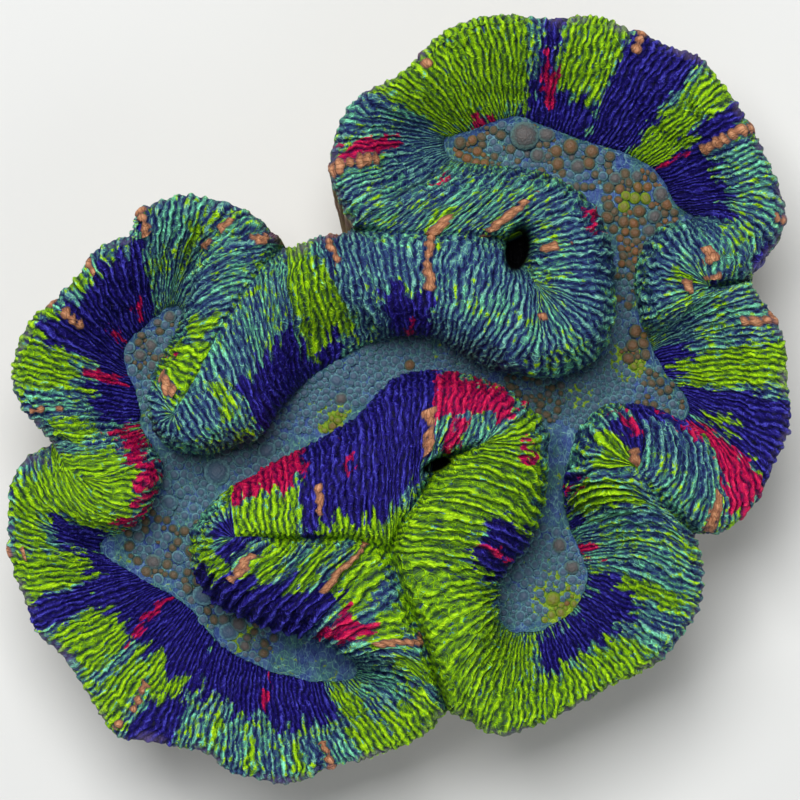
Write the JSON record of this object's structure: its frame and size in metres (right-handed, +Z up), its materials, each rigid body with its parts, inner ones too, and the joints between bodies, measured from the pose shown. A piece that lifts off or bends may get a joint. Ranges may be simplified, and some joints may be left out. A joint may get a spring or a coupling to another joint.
{
  "type": "brain coral",
  "caption": "Folded brain coral colony: a fleshy ridged wall winding round one branching valley, on a stony stalk cut off flat.",
  "frame": {"origin": "centre of the bounding box in plan, on the flat cut face that the colony rests on", "axes": "+Z up out of the valley, +Y towards the largest lobe (north), +X east"},
  "size_m": [0.1416, 0.139, 0.0489],
  "materials": {
    "flesh": "moist ridged flesh in chartreuse, teal, indigo and crimson patches",
    "valley_floor": "moist slate and teal skin with fine lines",
    "vesicles": "moist brown and slate blisters with pale rims",
    "skeleton": "rough ribbed limestone"
  },
  "bodies": {
    "root": {"brain_coral": "flesh"}
  },
  "joints": []
}
